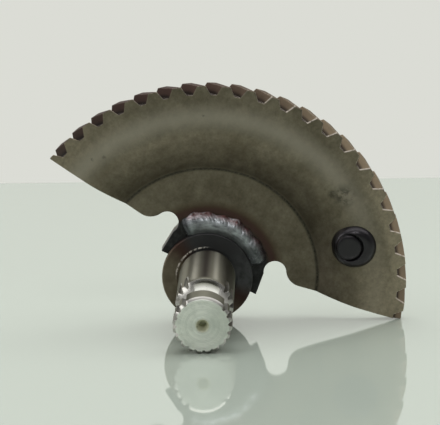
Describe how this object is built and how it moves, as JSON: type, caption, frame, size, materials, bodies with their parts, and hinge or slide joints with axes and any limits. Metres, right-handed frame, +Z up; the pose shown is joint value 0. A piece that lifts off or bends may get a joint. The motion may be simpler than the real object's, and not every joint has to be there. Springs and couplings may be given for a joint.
{
  "type": "kickstart shaft",
  "caption": "Splined kickstart shaft with a collar, welded to a dished sector plate with slanted rim teeth and a rubber bumper; turning it drives a starter pinion.",
  "frame": {"origin": "on the shaft's axis, at the middle of the plain journal", "axes": "as it rests on a table: +Z up, the splined end towards -Y and slightly down, +X to the right as seen from the splined end"},
  "size_m": [0.0933, 0.0505, 0.0648],
  "materials": {
    "shaft_steel": "ground journal, machined splines",
    "oiled_steel": "dark phosphated and oiled",
    "weld_steel": "rippled weld with heat tint",
    "rubber": "matt"
  },
  "bodies": {
    "root": {"kick_shaft": "shaft_steel", "toothed_sector": "oiled_steel", "weld_bead": "weld_steel", "rubber_bumper": "rubber"}
  },
  "joints": []
}
